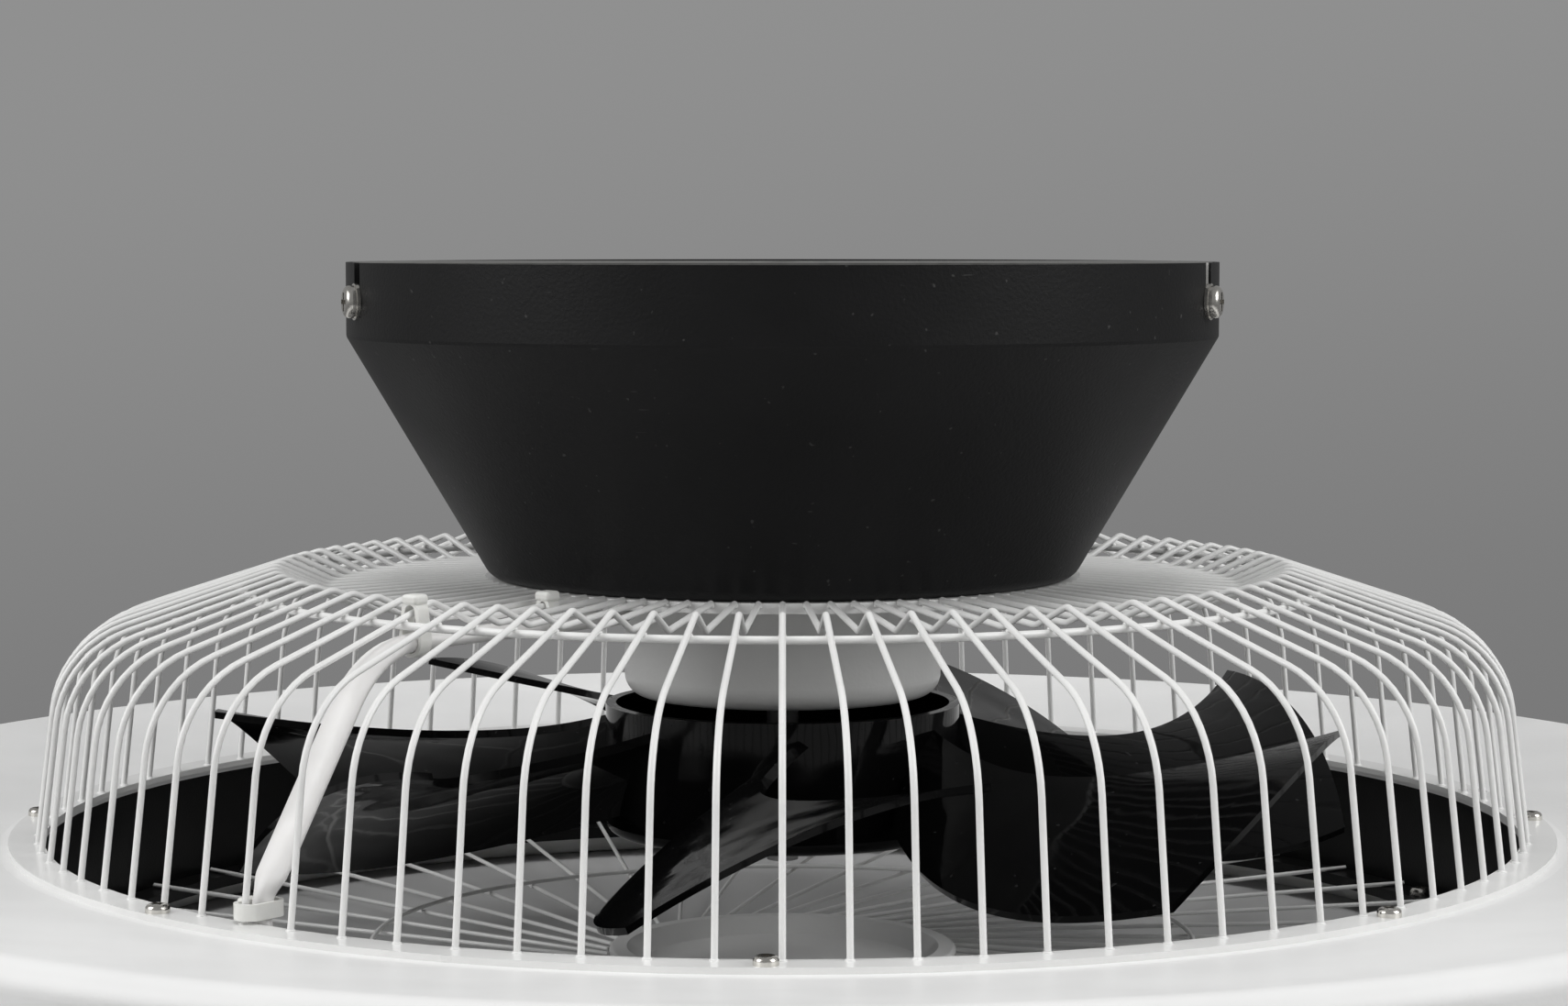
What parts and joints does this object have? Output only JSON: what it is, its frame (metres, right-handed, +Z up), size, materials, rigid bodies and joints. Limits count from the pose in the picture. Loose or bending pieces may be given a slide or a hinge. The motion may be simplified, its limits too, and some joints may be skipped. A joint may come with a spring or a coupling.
{
  "type": "ceiling fan",
  "caption": "Ceiling fan with a conical canopy, a domed wire cage round a swept-blade rotor, a lower grille and a ring-shaped lamp body.",
  "frame": {"origin": "centre of the ceiling bracket's top face, in the ceiling plane", "axes": "+Z up into the ceiling along the rotor's axis, +X along the line of the two ceiling slots"},
  "size_m": [0.5389, 0.539, 0.1815],
  "materials": {
    "canopy_black": "matt black powder coat",
    "screw_bright": "bright plated steel",
    "bracket_zinc": "zinc plated sheet steel",
    "wire_white": "glossy white powder coat",
    "motor_white": "satin white paint",
    "lamp_white": "satin white paint",
    "duct_black": "fine grained black",
    "rotor_black": "polished black",
    "diffuser_opal": "frosted opal white",
    "steel_bright": "ground steel",
    "lamination_grey": "stacked electrical steel",
    "winding_copper": "enamelled copper",
    "magnet_grey": "sintered magnet",
    "board_green": "solder resist",
    "board_white": "white solder resist",
    "led_yellow": "phosphor gel",
    "component_black": "moulded cases",
    "box_white": "moulded white",
    "lead_white": "white insulating sleeve",
    "tie_white": "moulded white"
  },
  "bodies": {
    "fixed": {"board_parts": "component_black", "board_posts": "steel_bright", "board_screws": "screw_bright", "cage_flange": "wire_white", "cage_hoop": "wire_white", "cage_plate": "wire_white", "cage_wires": "wire_white", "canopy": "canopy_black", "canopy_screws": "screw_bright", "canopy_washers": "screw_bright", "ceiling_bracket": "bracket_zinc", "control_board": "board_green", "control_box": "box_white", "control_lid": "box_white", "diffuser": "diffuser_opal", "duct_ring": "duct_black", "end_shield": "motor_white", "flange_nuts": "steel_bright", "flange_screws": "screw_bright", "grille_cap": "wire_white", "grille_hoop": "wire_white", "grille_ring": "duct_black", "grille_screws": "screw_bright", "grille_wires": "wire_white", "lamp_lead": "lead_white", "lamp_pan": "lamp_white", "lead_gland": "tie_white", "lead_grommet": "tie_white", "lead_ties": "tie_white", "led_board": "board_white", "led_chips": "led_yellow", "lower_bearing": "steel_bright", "motor_housing": "motor_white", "motor_screws": "screw_bright", "shield_screws": "screw_bright", "stator_coils": "winding_copper", "stator_core": "lamination_grey", "terminal_block": "box_white", "upper_bearing": "steel_bright"},
    "rotor": {"blade_1": "rotor_black", "blade_2": "rotor_black", "blade_3": "rotor_black", "blade_4": "rotor_black", "blade_5": "rotor_black", "blade_6": "rotor_black", "blade_7": "rotor_black", "hub_nut": "steel_bright", "hub_washer": "steel_bright", "motor_shaft": "steel_bright", "rotor_core": "lamination_grey", "rotor_hub": "rotor_black", "rotor_magnets": "magnet_grey", "shaft_clip": "steel_bright"}
  },
  "joints": [
    {"name": "rotor_spin", "type": "hinge", "parent": "fixed", "child": "rotor", "pos_m": [0, 0, -0.112], "axis": [0, 0, 1], "continuous": true}
  ]
}
